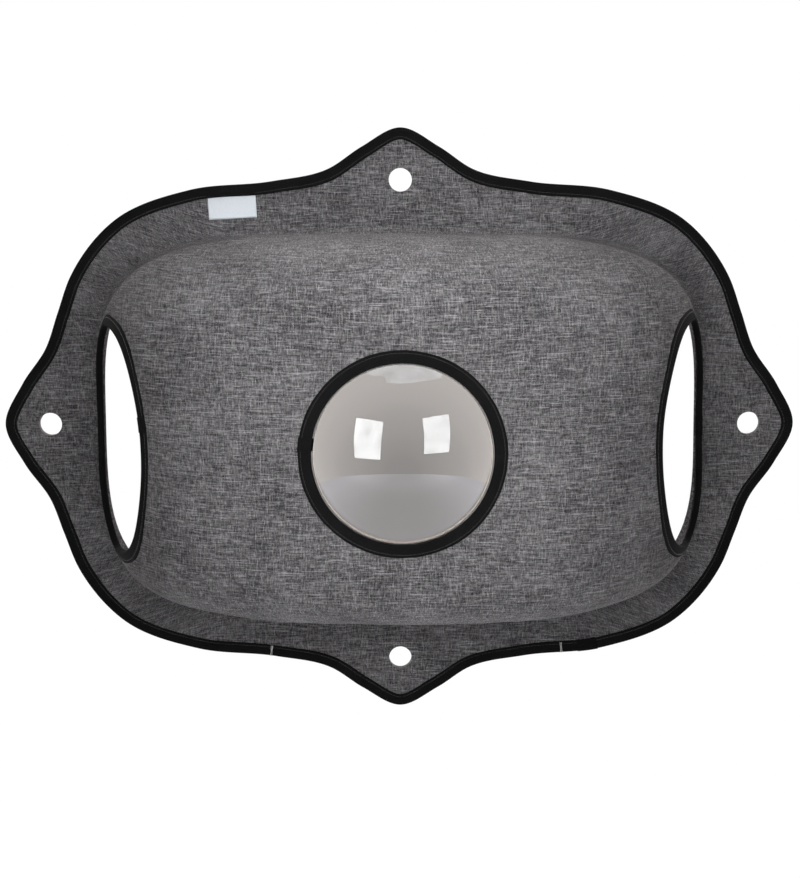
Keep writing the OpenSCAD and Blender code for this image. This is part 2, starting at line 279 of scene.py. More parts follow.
def grid_quads(points, along, across, close_along, close_across):
    """Quads of a grid of points [n, k], wrapped round where it closes, with their corner places."""
    n, k = points.shape[:2]
    i, j = np.meshgrid(np.arange(n if close_along else n - 1),
                       np.arange(k if close_across else k - 1), indexing="ij")
    i2, j2 = (i + 1) % n, (j + 1) % k
    quads = np.stack([i * k + j, i2 * k + j, i2 * k + j2, i * k + j2], -1).reshape(-1, 4)
    a, b = np.asarray(along), np.asarray(across)
    uvs = np.stack([np.stack([a[i], b[j]], -1), np.stack([a[i + 1], b[j]], -1),
                    np.stack([a[i + 1], b[j + 1]], -1), np.stack([a[i], b[j + 1]], -1)], 2)
    return quads, uvs.reshape(-1, 4, 2)


# The laminate: one grid of angles and places, cut to its openings

def eared(quarter_steps, ear_steps, ear_angle):
    """Angles round the pod, closer together at the four ears where the holes are."""
    ear = np.linspace(0, ear_angle, ear_steps, endpoint=False)
    rest = np.linspace(ear_angle, math.pi / 4, quarter_steps)
    eighth = np.concatenate([ear, rest])
    quarter = np.concatenate([eighth, (math.pi / 2 - eighth[1:-1])[::-1]])
    return np.concatenate([quarter + k * math.pi / 2 for k in range(4)])


shell_angles = eared(26, 14, 0.085)
shell_places = np.concatenate([np.linspace(2, 1, 9)[:-1], np.linspace(1, 0, 47)[:-1],
                               np.linspace(0, -1, 10)[:-1], np.linspace(-1, -2, 31)])
hole_centres = [(side * (width / 2 - side_hole_inset), 0) for side in (-1, 1)]
hole_centres += [(0, side * (height / 2 - top_hole_inset)) for side in (-1, 1)]


def door_shares(t, v):
    """Place of a wall point in the doorway's own shares: along the run, and up."""
    z = wall_radius(t, v) * np.sin(t) + np.where(np.cos(t) > 0, right_drop, left_drop)
    ahead = v * wall_run - door_sill - door_back
    return ahead / np.where(ahead > 0, door_run - door_back, door_back), z / (door_h / 2)


def door_measure(t, v):
    """Superellipse measure of the doorways: under 1 inside them."""
    ahead, up = door_shares(t, v)
    inside = (np.abs(ahead) ** door_power + np.abs(up) ** door_power) ** (1 / door_power)
    return np.where((v > 0) & (v < 1), inside, 9)


def cut_grid():
    """Angles and places of the shell's grid and the quads that stay. A quad goes where its corners
    lie in an opening on average, and the corners left on an opening's edge are moved onto it."""
    v, t = np.meshgrid(shell_places, shell_angles, indexing="ij")
    n, k = t.shape
    flat = shell(t, v, 0, False)
    measures = [door_measure(t, v)]
    for x, z in hole_centres:
        away = np.hypot(flat[..., 0] - x, flat[..., 2] - z) / (hole_d / 2)
        measures.append(np.where(v < -1, away, 9))
    quads, _ = grid_quads(flat, np.zeros(n), np.zeros(k + 1), False, True)
    field = np.minimum.reduce(measures).ravel()
    stays = field[quads].mean(1) > 1
    touched, dropped = np.zeros(n * k, bool), np.zeros(n * k, bool)
    touched[quads[stays]] = True
    dropped[quads[~stays]] = True
    edge = (touched & dropped).reshape(n, k)
    t, v = t.copy(), v.copy()
    at_door = edge & (measures[0] < 4) & (v > 0)
    ahead, up = door_shares(t[at_door], v[at_door])
    fit = measures[0][at_door]
    reach = np.where(ahead > 0, door_run - door_back, door_back)
    u = (door_sill + door_back + reach * ahead / fit) / wall_run
    on_right = np.cos(t[at_door]) > 0
    right = angle_at(door_h / 2 * up / fit - np.where(on_right, right_drop, left_drop), u)
    t[at_door] = np.where(on_right, right, math.pi - right)
    v[at_door] = u
    for (x, z), away in zip(hole_centres, measures[1:]):
        at_hole = edge & (away < 3)
        px = x + (flat[..., 0][at_hole] - x) / away[at_hole]
        pz = z + (flat[..., 2][at_hole] - z) / away[at_hole]
        angle, radius = np.arctan2(pz, px), np.hypot(px, pz)
        foot = plan_radius(angle) + crease_r
        t[at_hole] = angle
        v[at_hole] = -1 - (radius - foot) / (edge_radius(angle) - foot)
    return t, v, quads[stays]


grid_t, grid_v, grid_stays = cut_grid()


def pressed(lift, near=1.0):
    """Height in the laminate with the foam pressed together: the distance from its middle shrinks by
    a share where near is 1."""
    return laminate_t / 2 + (lift - laminate_t / 2) * (1 - door_pinch * near)


# The foam is fully pressed up to a measure of press_start, and this fades out over press_reach.
# door_scale turns the measure roughly into metres
press_start, door_scale, press_reach = 1.05, 0.065, 0.012
beyond_door = np.minimum(door_measure(grid_t, grid_v), 9) - press_start
near_door = ease(1 - beyond_door * door_scale / press_reach)


def cloth_places():
    """Places on the cloth before moulding. On the pod a thread keeps its height or its place across,
    and its number grows with the run of the profile. On the flange both places are moved out by what
    the wall took up, shared by the angle, and the lower wall turns from the one to the other."""
    lines = shell(np.array([[0], [math.pi / 2]]), shell_places, 0, False)
    flat = shell(grid_t, grid_v, 0, False)
    turn_start, turn_span, blend_top, blend_span = 0.26, 0.61, 0.3, 1.3
    share = ease((np.abs(np.arcsin(np.sin(grid_t))) - turn_start) / turn_span)
    on_flange = ease((blend_top - grid_v) / blend_span)
    places = []
    for line, axis, part in ((lines[0], 0, 1 - share), (lines[1], 2, share)):
        away = np.concatenate([[0], np.abs(line[:, axis])])
        run = np.concatenate([[0, away[1]],
                              away[1] + np.cumsum(np.linalg.norm(np.diff(line, axis=0), axis=1))])
        here = np.abs(flat[..., axis])
        moved = here + (run[-1] - away[-1]) * part
        place = np.interp(here, away, run) * (1 - on_flange) + moved * on_flange
        places.append(np.sign(flat[..., axis]) * place)
    return np.stack(places, -1).reshape(-1, 2)


laid_out = cloth_places()


def laminate(name, low, high, finish, nodes):
    """One layer of the shell between two heights: the grid at both, joined along every open edge."""
    count = grid_t.size
    front, back = grid_stays, grid_stays[:, ::-1] + count
    a = front.ravel()
    b = np.roll(front, -1, 1).ravel()
    lone = ~np.isin(a * count + b, b * count + a)
    a, b = a[lone], b[lone]
    rim = np.stack([b, a, a + count, b + count], 1)
    quads = np.concatenate([front, back, rim])
    verts = np.concatenate([shell(grid_t, grid_v, pressed(high, near_door)).reshape(-1, 3),
                            shell(grid_t, grid_v, pressed(low, near_door)).reshape(-1, 3)])
    places = np.concatenate([laid_out, laid_out])
    used, quads = np.unique(quads, return_inverse=True)
    quads = quads.reshape(-1, 4)
    return add_piece(name, verts[used], quads.tolist(), places[used][quads], finish, nodes, 40)


# Binding tape

def arc(cx, cy, r, start, end, count):
    """Round corner of a section, as points."""
    b = np.radians(np.linspace(start, end, count))
    return np.stack([cx + r * np.cos(b), cy + r * np.sin(b)], -1)


def tape_section(leg, low, high, fold, corner=0.0016, seam=seam_inset):
    """Section of the folded tape as [out, lift] points: up the front leg's end, past its seam to the
    fold, round it to the back leg, and home along the inside. fold is the inside's gap. The thread
    pulls a dip along the seam, and the tape puffs up a little beside it."""
    top, bottom, outer = high + tape_t, low - tape_t, -fold - tape_t
    dip, dip_w, puff = 0.0003, 0.0006, 0.0001
    front = np.array([[leg, high], [leg + puff, high + 0.3 * tape_t],
                      [leg, high + 0.72 * tape_t], [leg - dip, top - 0.5 * puff],
                      [leg - 10 * puff, top], [leg - seam + dip_w, top],
                      [leg - seam, top - dip], [leg - seam - dip_w, top],
                      [leg - seam - 3 * dip_w, top + puff], [0.42 * leg, top + 1.2 * puff]])
    back = front[::-1] * [1, -1] + [0, high + low]
    fold_round = np.concatenate([arc(outer + corner, top - corner, corner, 90, 180, 7),
                                 [[outer, (top + bottom) / 2]],
                                 arc(outer + corner, bottom + corner, corner, 180, 270, 7)])
    inside = np.array([[0.5 * leg, low], [-fold, low], [-fold, (low + high) / 2], [-fold, high],
                       [0.5 * leg, high]])
    return np.concatenate([front, fold_round, back, inside])


def uneven_edge(turn, loops):
    """Small wander of a sewn tape: a few whole waves round the loop."""
    b = 2 * math.pi * turn
    return (0.5 * np.sin(loops * b + 1.1) + 0.3 * np.sin((2 * loops + 3) * b + 0.4)
            + 0.2 * np.sin((5 * loops + 1) * b + 2.3))


def tape_run(lay, section, turns, length, wander, bump=None, swell=0.0):
    """Grid of a tape: its section carried along the turns. The free edges wander, the legs pucker
    along the seam, bump lifts the front leg, and swell thickens a lap over the run below it."""
    out, lift = section[:, 0], section[:, 1]
    s = turns[:, None]
    free = ease(out / out.max())[None]
    middle = (lift.max() + lift.min()) / 2
    face = np.sign(lift - middle)[None]
    skin = np.abs(lift - middle) > np.abs(lift - middle).max() - 0.0005
    pucker = pucker_depth * np.sin(2 * math.pi * length / pucker_pitch * s) * free * skin[None]
    grown = out[None] + wander * uneven_edge(s, 7) * free + swell * np.where(out > 0.004, 1, -1)[None]
    raised = lift[None] + (pucker + swell) * face
    if bump is not None:
        raised = raised + bump(s) * free * (lift > middle)[None]
    return lay(np.broadcast_to(s, grown.shape), grown, raised)


def tape(name, lay, section, count, wander, laps, finish, nodes, bump=None):
    """Closed loop of binding tape with its laps, where one end of the tape crosses over the other."""
    turns, length = even_turns(lay, 0.0, laminate_t, count)
    points = tape_run(lay, section, turns, length, wander, bump)
    step = np.linalg.norm(np.diff(section, axis=0, append=section[:1]), axis=1)
    across = np.concatenate([[0], np.cumsum(step)])
    along = np.linspace(0, length, count + 1)
    quads, uvs = grid_quads(points, along, across, True, True)
    verts = points.reshape(-1, 3)
    quads, uvs = outward(verts, quads, uvs)
    faces, corner_uvs, base = quads.tolist(), [uvs.reshape(-1, 2)], len(verts)
    k, lap_steps = len(section), 8
    for start, run in laps:
        s = start + np.linspace(0, run / length, lap_steps + 1)
        over = tape_run(lay, section, s, length, wander, bump, lap_swell)
        more, more_uvs = grid_quads(over, np.linspace(0, run, lap_steps + 1), across, False, True)
        flat = over.reshape(-1, 3)
        more, more_uvs = outward(flat, more, more_uvs)
        first, last = np.arange(k), np.arange(k) + lap_steps * k
        if (more[0] == [0, k, k + 1, 1]).all():
            last = last[::-1]
        else:
            first = first[::-1]
        faces += (more + base).tolist() + [(first + base).tolist(), (last + base).tolist()]
        corner_uvs += [more_uvs.reshape(-1, 2), np.zeros((2 * k, 2))]
        verts = np.concatenate([verts, flat])
        base = len(verts)
    return add_piece(name, verts, faces, np.concatenate(corner_uvs), finish, nodes, 50)


# Thread

def strands(centres, ups, radii, sides=6):
    """Round strands: centres [m, k, 3] carried with a ring of sides points, and their end caps."""
    m, k = centres.shape[:2]
    tangent = unit(np.gradient(centres, axis=1))
    side = unit(np.cross(tangent, ups))
    up = np.cross(side, tangent)
    phi = 2 * math.pi * np.arange(sides) / sides
    ring = (np.cos(phi)[:, None] * up[:, :, None] + np.sin(phi)[:, None] * side[:, :, None])
    points = centres[:, :, None] + radii[None, :, None, None] * ring
    i, a, b = np.meshgrid(np.arange(m), np.arange(k - 1), np.arange(sides), indexing="ij")

    def corner(p, q):
        """Number of a strand's point at the ring p and the side q."""
        return (i * k + p) * sides + q % sides

    quads = np.stack([corner(a, b), corner(a, b + 1), corner(a + 1, b + 1), corner(a + 1, b)], -1)
    start = (np.arange(m) * k * sides)[:, None] + np.arange(sides)
    end = start + (k - 1) * sides
    return points.reshape(-1, 3), quads.reshape(-1, 4), start[:, ::-1], end


def stitch_row(lay, out, lift, sunk):
    """Lockstitches along one line: each rises out of its needle hole, lies a little slanted on the
    tape and dips into the next hole."""
    _, length = even_turns(lay, out, lift, 8)
    count = round(length / stitch_pitch)
    middles, _ = even_turns(lay, out, lift, count, 0.37 / count)
    gap = np.diff(middles, append=middles[:1] + 1) % 1
    v, reach, slant = np.linspace(-1, 1, 6), 0.45, 0.00011
    turn = middles[:, None] + reach * gap[:, None] * v
    sign = 1 if lift > laminate_t / 2 else -1
    rise = sign * (thread_r * (1.35 * np.sqrt(1 - 0.9 * v**2) - 1.5) - sunk)
    centres = lay(turn, out + slant * v, lift + rise)
    foot = lay(turn, out + 0 * v, lift + 0 * v)
    ups = unit(lay(turn, out + 0 * v, lift + sign * 0.001 + 0 * v) - foot)
    return strands(centres, ups, thread_r * np.array([0.55, 0.9, 1, 1, 0.9, 0.55]))


def thread_piece(name, rows, finish, nodes):
    """Several rows of strands as one piece."""
    verts, faces, base = [], [], 0
    for points, quads, starts, ends in rows:
        p = points[quads[:40]]
        volume = np.einsum("ij,ij->i", p[:, 0] - points[:240].mean(0),
                           np.cross(p[:, 1] - p[:, 0], p[:, 2] - p[:, 0])).sum()
        flip = slice(None, None, -1 if volume < 0 else 1)
        for group in (quads, starts, ends):
            faces += (group[:, flip] + base).tolist()
        verts.append(points)
        base += len(points)
    verts = np.concatenate(verts)
    return add_piece(name, verts, faces, None, finish, nodes)


# Bubble window

def turned(section, count):
    """Surface turned about the window's axis from [radius, depth] points that start and end on it."""
    b = 2 * math.pi * np.arange(count) / count
    r, depth = section[:, 0], section[:, 1]
    points = np.stack([np.cos(b)[:, None] * r, np.broadcast_to(-depth, (count, len(r))),
                       np.sin(b)[:, None] * r], -1)
    quads, uvs = grid_quads(points, np.arange(count + 1) / count, np.arange(len(r)) / len(r), True, False)
    verts = points.reshape(-1, 3)
    quads, _ = outward(verts, quads, uvs)
    k = len(r)
    poles = np.where(quads % k == 0, 0, np.where(quads % k == k - 1, k - 1, quads))
    faces = [list(dict.fromkeys(q)) for q in poles.tolist()]
    used, flat = np.unique(np.concatenate([np.array(f) for f in faces]), return_inverse=True)
    sizes = np.cumsum([0] + [len(f) for f in faces])
    faces = [flat[a:b].tolist() for a, b in zip(sizes[:-1], sizes[1:])]
    return verts[used], faces


def bubble_section():
    """Section of the moulded bubble: a sphere's cap, a rounded shoulder, a straight neck through the
    window's tape, a flat flange behind it, and the inside one wall thickness behind them all."""
    seat = land_h - tape_t
    foot = window_r - bubble_clear
    radius = (foot**2 + bubble_rise**2) / (2 * bubble_rise)
    centre = front_depth + bubble_rise - radius
    fillet, shoulder, rim_round, edge = 0.0005, 0.0030, 0.0006, window_r + bubble_flange

    def dome(inset):
        """Cap and shoulder, from the crown to the neck."""
        cap_r, round_r = radius - inset, shoulder - inset
        turn_r = foot - shoulder
        turn_depth = centre + math.sqrt((radius - shoulder)**2 - turn_r**2)
        slope = math.degrees(math.acos(turn_r / (radius - shoulder)))
        return np.concatenate([arc(0, centre, cap_r, 90, slope, 64),
                               arc(turn_r, turn_depth, round_r, slope, 0, 9)[1:]])

    outer, inner = dome(0), dome(bubble_t)[::-1]
    outer[0, 0] = inner[-1, 0] = 0
    return np.concatenate([
        outer, arc(foot + fillet, seat + fillet, fillet, 180, 270, 6),
        arc(edge - rim_round, seat - rim_round, rim_round, 90, 0, 5),
        arc(edge - rim_round, seat - bubble_t + rim_round, rim_round, 0, -90, 5),
        arc(foot + fillet, seat + fillet, fillet + bubble_t, 270, 180, 7), inner])


# Label

def label_points(across, down):
    """Grid of the label, tucked under the rim tape and curling a little off the cloth below."""
    turn = turn_at(label_x, True)
    top = rim_lay(turn, rim_leg, laminate_t)
    a, b = np.meshgrid(np.linspace(-0.5, 0.5, across), np.linspace(0, 1, down), indexing="ij")
    drop = b * (label_h + label_tuck + 0.0002) - label_tuck
    tilt = math.radians(label_tilt)
    x = label_x + label_w * a * math.cos(tilt) + drop * math.sin(tilt)
    z = top[2] + label_w * a * math.sin(tilt) - drop * math.cos(tilt)
    curl = label_curl * b**2.2 * (1 + 0.5 * np.cos(2 * math.pi * (a - 0.15)))
    curl = curl + 0.0002 * np.sin(9 * a + 3 * b) * b
    y = -(laminate_t + 0.00005 + ripple(x, z, 0) + curl)
    return np.stack([x, y, z], -1)


# Finishes

def step(tree, kind, sockets=None, **settings):
    """One node, with its settings and its sockets, each a value or another node's output."""
    node = tree.nodes.new(kind)
    for key, value in settings.items():
        setattr(node, key, value)
    for key, value in (sockets or {}).items():
        if isinstance(value, bpy.types.NodeSocket):
            tree.links.new(value, node.inputs[key])
        else:
            node.inputs[key].default_value = value
    return node


def sum_of(tree, operation, a, b=None, c=None):
    """Result of one arithmetic node."""
    given = {i: v for i, v in enumerate((a, b, c)) if v is not None}
    return step(tree, "ShaderNodeMath", given, operation=operation).outputs[0]


def noise(tree, place, scale, detail, **settings):
    """Cloudy pattern from 0 to 1 over the places."""
    return step(tree, "ShaderNodeTexNoise", {"Vector": place, "Scale": scale, "Detail": detail,
                                             **settings}).outputs["Fac"]


def remap(tree, value, source, target, kind="LINEAR"):
    """The value carried from one range to another and held at its ends."""
    return step(tree, "ShaderNodeMapRange", {"Value": value, "From Min": source[0], "From Max": source[1],
                                            "To Min": target[0], "To Max": target[1]},
                interpolation_type=kind).outputs[0]


def cloth_place(tree):
    """Place on the flat cloth or along the tape, in metres."""
    return step(tree, "ShaderNodeUVMap", uv_map="lay").outputs["UV"]


def body_place(tree):
    """Place in the model's frame, in metres."""
    return step(tree, "ShaderNodeTexCoord").outputs["Object"]


def dress(tree, shader, colour, height, strength, distance):
    """Colour and relief wired to the shader."""
    if colour is not None:
        tree.links.new(colour, shader.inputs["Base Color"])
    bump = step(tree, "ShaderNodeBump", {"Height": height, "Strength": strength, "Distance": distance})
    tree.links.new(bump.outputs[0], shader.inputs["Normal"])


def bare(name):
    """New material with nothing wired in it yet."""
    finish = bpy.data.materials.new(name)
    finish.use_nodes = True
    finish.node_tree.nodes.clear()
    return finish, finish.node_tree


def blank(name, roughness, sheen=0.0, **plain):
    """New finish with its plain values set on the shader's own sockets."""
    finish = bpy.data.materials.new(name)
    finish.use_nodes = True
    shader = finish.node_tree.nodes["Principled BSDF"]
    shader.inputs["Roughness"].default_value = roughness
    shader.inputs["Sheen Weight"].default_value = sheen
    shader.inputs["Sheen Roughness"].default_value = 0.5
    for key, value in plain.items():
        shader.inputs[key.replace("_", " ")].default_value = value
    return finish, finish.node_tree, shader


def ramp(tree, value, stops):
    """Colour ramp of [place, colour] stops."""
    node = step(tree, "ShaderNodeValToRGB", {"Fac": value})
    band = node.color_ramp
    while len(band.elements) < len(stops):
        band.elements.new(0.5)
    for element, (place, colour) in zip(band.elements, stops):
        element.position = place
        element.color = (*colour, 1)
    return node.outputs["Color"]


def melange_cloth(name, pale, mid, dark, weave=0.45):
    """Plain weave of thick-and-thin grey yarns. Each weft and warp yarn has its own run of light and
    dark and rarer long pale slubs, the yarns cross over and under, and the tone drifts slowly."""
    finish, tree, shader = blank(name, 0.95, 0.04, Specular_IOR_Level=0.06)
    place = cloth_place(tree)
    split = step(tree, "ShaderNodeSeparateXYZ", {"Vector": place})
    u, v = split.outputs["X"], split.outputs["Y"]
    yarn, float_length = 0.00068, 0.00052
    cell = math.pi / float_length

    def yarns(lengthways, crossways, run, seed, detail):
        number = sum_of(tree, "FLOOR", sum_of(tree, "DIVIDE", crossways, yarn))
        spot = step(tree, "ShaderNodeCombineXYZ", {"X": sum_of(tree, "DIVIDE", lengthways, run),
                                                  "Y": sum_of(tree, "MULTIPLY", number, 7.31),
                                                  "Z": seed}).outputs[0]
        return noise(tree, spot, 1.0, detail, Roughness=0.76)

    def slubs(lengthways, crossways, run, seed):
        return remap(tree, yarns(lengthways, crossways, run, seed, 1.0), (0.60, 0.76), (0.0, 0.24))

    weft = sum_of(tree, "ADD", yarns(u, v, 0.015, 0.0, 4.2), slubs(u, v, 0.024, 13.0))
    warp = sum_of(tree, "ADD", yarns(v, u, 0.007, 41.0, 3.5), slubs(v, u, 0.010, 57.0))
    crossing = sum_of(tree, "MULTIPLY", sum_of(tree, "SINE", sum_of(tree, "MULTIPLY", u, cell)),
                      sum_of(tree, "SINE", sum_of(tree, "MULTIPLY", v, cell)))
    weft_over = step(tree, "ShaderNodeClamp", {"Value": sum_of(tree, "MULTIPLY_ADD", crossing, 2.2, 0.64)})
    tone = step(tree, "ShaderNodeMix", {"Factor": weft_over.outputs[0], "A": warp, "B": weft},
                data_type="FLOAT").outputs[0]
    drift = noise(tree, place, 14.0, 2.0)
    tone = sum_of(tree, "ADD", tone, sum_of(tree, "MULTIPLY_ADD", drift, 0.12, -0.06))
    bright = tuple(1.8 * c for c in pale)
    colour = ramp(tree, tone, [(0.395, dark), (0.49, mid), (0.572, pale), (0.69, bright)])
    height = sum_of(tree, "ADD", sum_of(tree, "MULTIPLY", crossing, 0.5), tone)
    dress(tree, shader, colour, height, weave, 0.00018)
    return finish


def woven_tape(name):
    """Matt black grosgrain: fine ribs across the tape, its lengthways yarns and faint lint."""
    finish, tree, shader = blank(name, 0.95, 0.0, Specular_IOR_Level=0.02)
    place = cloth_place(tree)
    split = step(tree, "ShaderNodeSeparateXYZ", {"Vector": place})
    rib_pitch, yarn_pitch = 0.00085, 0.0006
    ribs = sum_of(tree, "SINE", sum_of(tree, "MULTIPLY", split.outputs["X"], 2 * math.pi / rib_pitch))
    yarns = sum_of(tree, "SINE", sum_of(tree, "MULTIPLY", split.outputs["Y"], 2 * math.pi / yarn_pitch))
    lint, patch = noise(tree, place, 900.0, 3.0), noise(tree, place, 30.0, 2.0)
    tone = sum_of(tree, "ADD", sum_of(tree, "MULTIPLY", lint, 0.6), sum_of(tree, "MULTIPLY", patch, 0.4))
    colour = ramp(tree, tone, [(0.3, (0.0065, 0.0065, 0.0070)), (0.55, (0.0114, 0.0114, 0.0120)),
                               (0.8, (0.022, 0.022, 0.0235))])
    dress(tree, shader, colour, sum_of(tree, "ADD", ribs, sum_of(tree, "MULTIPLY", yarns, 0.4)), 0.35,
          0.00012)
    return finish


def cell_foam(name):
    """Closed-cell foam at a cut edge: small pits in a dull dark grey."""
    finish, tree, shader = blank(name, 0.85)
    place = body_place(tree)
    cells = step(tree, "ShaderNodeTexVoronoi", {"Vector": place, "Scale": 1600.0}).outputs["Distance"]
    colour = ramp(tree, cells, [(0.1, (0.012, 0.012, 0.013)), (0.6, (0.045, 0.045, 0.048))])
    dress(tree, shader, colour, cells, 0.5, 0.0002)
    return finish


def moulded_acrylic(name):
    """Clear acrylic tinted grey as painted shade for the dim inside of the pod and wall seen through it,
    with faint haze where it is handled and a drawn sheet's very slight unevenness."""
    finish, tree, shader = blank(name, 0.02, IOR=1.49, Transmission_Weight=1.0, Specular_IOR_Level=1.0)
    # Grey tint: painted shade standing in for the dim pod inside seen through the bubble
    shader.inputs["Base Color"].default_value = (0.275, 0.263, 0.256, 1)
    place = body_place(tree)
    haze = remap(tree, noise(tree, place, 35.0, 4.0), (0.45, 0.8), (0.008, 0.05))
    tree.links.new(haze, shader.inputs["Roughness"])
    dress(tree, shader, None, noise(tree, place, 18.0, 1.0), 0.12, 0.0006)
    return finish


def label_satin(name):
    """Blank woven satin: close fine floats, a little brighter where they catch the light."""
    finish, tree, shader = blank(name, 0.5, 0.2, Specular_IOR_Level=0.4)
    place = cloth_place(tree)
    spot = step(tree, "ShaderNodeMapping", {"Vector": place, "Scale": (500, 5200, 1)}).outputs[0]
    floats = noise(tree, spot, 1.0, 2.0)
    colour = ramp(tree, floats, [(0.3, (0.76, 0.82, 0.90)), (0.7, (0.88, 0.94, 1.0))])
    dress(tree, shader, colour, floats, 0.25, 0.00008)
    return finish


def spun_thread(name, dark, pale):
    """Twisted thread: slanting plies with a little fuzz."""
    finish, tree, shader = blank(name, 0.75, 0.2, Specular_IOR_Level=0.3)
    place = body_place(tree)
    plies = step(tree, "ShaderNodeTexWave", {"Vector": place, "Scale": 520.0, "Distortion": 2.0},
                 bands_direction="DIAGONAL").outputs["Fac"]
    dress(tree, shader, ramp(tree, plies, [(0.2, dark), (0.8, pale)]), plies, 0.4, 0.0001)
    return finish


cover_finish = melange_cloth("cover_cloth", (0.30, 0.29, 0.297), (0.138, 0.133, 0.139),
                             (0.032, 0.030, 0.033))
lining_finish = melange_cloth("lining_cloth", (0.27, 0.26, 0.267), (0.125, 0.12, 0.126),
                              (0.030, 0.028, 0.031))
tape_finish = woven_tape("binding_tape")
foam_finish = cell_foam("foam")
black_thread = spun_thread("black_thread", (0.006, 0.006, 0.006), (0.02, 0.02, 0.02))
white_thread = spun_thread("white_thread", (0.62, 0.62, 0.60), (0.85, 0.85, 0.83))

laminate("cover", lining_t + foam_t, laminate_t, cover_finish, ["outer_cover"])
laminate("foam_core", lining_t, lining_t + foam_t, foam_finish, ["foam_shell"])
laminate("lining", 0.0, lining_t, lining_finish, ["inner_lining"])


def label_bump(turn):
    """Lift of the rim tape where the label is sewn in under it, easing out past the label's ends."""
    x, z = np.moveaxis(rim_at(turn), -1, 0)
    ease_out = 0.003
    side = ease((label_w / 2 + ease_out - np.abs(x - label_x)) / ease_out)
    return label_t * side * (z > 0)


tape("rim_tape", rim_lay, tape_section(rim_leg, 0.0, laminate_t, 0.0), rim_steps, rim_wander,
     [(turn_at(rim_lap_x, False), rim_lap_run)], tape_finish, ["rim_binding"], label_bump)
door_low, door_high = pressed(0) - door_gap, pressed(laminate_t) + door_gap
door_section = tape_section(door_leg, door_low, door_high, door_fold, 0.0015)
for side, name, lap in ((1, "right_door", right_lap), (-1, "left_door", left_lap)):
    tape(name + "_tape", door_lay(side), door_section, loop_steps, door_wander, [(lap, loop_lap_run)],
         tape_finish, [name + "_binding"])
tape("window_tape", window_lay, tape_section(window_leg, 0.0, laminate_t, 0.0, 0.0009), loop_steps,
     window_wander, [(window_lap, loop_lap_run)], tape_finish, ["window_binding"])

rim_seam, window_seam, door_seam = (leg - seam_inset for leg in (rim_leg, window_leg, door_leg))
for name, lay, seam, low, high in (("rim", rim_lay, rim_seam, 0, laminate_t),
                                   ("right_door", door_lay(1), door_seam, door_low, door_high),
                                   ("left_door", door_lay(-1), door_seam, door_low, door_high),
                                   ("window", window_lay, window_seam, 0, laminate_t)):
    rows = [stitch_row(lay, seam, high + tape_t, front_sink), stitch_row(lay, seam, low - tape_t, back_sink)]
    thread_piece(name + "_stitches", rows, black_thread, [name + "_stitching"])


def tack_strands(x, strand_count=3):
    """White thread caught across the lower rim: strands side by side from the seam over the fold."""
    middle = turn_at(x, False)
    run = np.linspace(0, 1, 22)
    bends, face = [0, 0.1, 0.75, 0.86, 1], laminate_t + tape_t
    out = np.interp(run, bends, [rim_leg - 0.0004, rim_leg - 0.0012, 0.0006, -0.0009, -0.0011])
    lift = np.interp(run, bends, [face - 0.0004, face + 0.0003, face + 0.0003, laminate_t,
                                  laminate_t - 0.0022])
    for row in (out, lift):
        row[1:-1] = (row[:-2] + 2 * row[1:-1] + row[2:]) / 4
    spread = (np.arange(strand_count) - (strand_count - 1) / 2)[:, None]
    sway = spread * tack_pitch + 0.00012 * np.sin(7 * run + 2.4 * spread)
    # The rim runs 2.8 m per whole turn here, so the strands lie 1.4 times as far apart as the pitch
    sway_per_turn = 2.05
    turn = middle + sway / sway_per_turn
    centres = rim_lay(turn, out + 0 * sway, lift + 0.00006 * np.cos(9 * run + spread))
    foot = rim_lay(turn, out + 0 * sway, lift + 0 * sway)
    ups = unit(rim_lay(turn, out - 0.0004 + 0 * sway, lift + 0.001 + 0 * sway) - foot)
    radii = tack_r * np.minimum(1, 0.5 + 6 * np.minimum(run, 1 - run))
    return strands(centres, ups, radii)


thread_piece("rim_tack_threads", [tack_strands(x) for x in tack_x], white_thread,
             ["rim_tacks"])

bubble_verts, bubble_faces = turned(bubble_section(), bubble_steps)
add_piece("bubble", bubble_verts, bubble_faces, None, moulded_acrylic("clear_acrylic"),
          ["bubble_window"], 50)

label_columns, label_rows = 29, 15
label_grid = label_points(label_columns, label_rows)
label_quads, label_uvs = grid_quads(label_grid, np.linspace(0, label_w, label_columns),
                                    np.linspace(0, label_h, label_rows), False, False)
label = add_piece("label", label_grid.reshape(-1, 3), label_quads.tolist(), label_uvs,
                  label_satin("label_satin"), ["blank_label"])
thick = label.modifiers.new("thickness", "SOLIDIFY")
thick.thickness, thick.offset = label_t, 1.0


# Studio

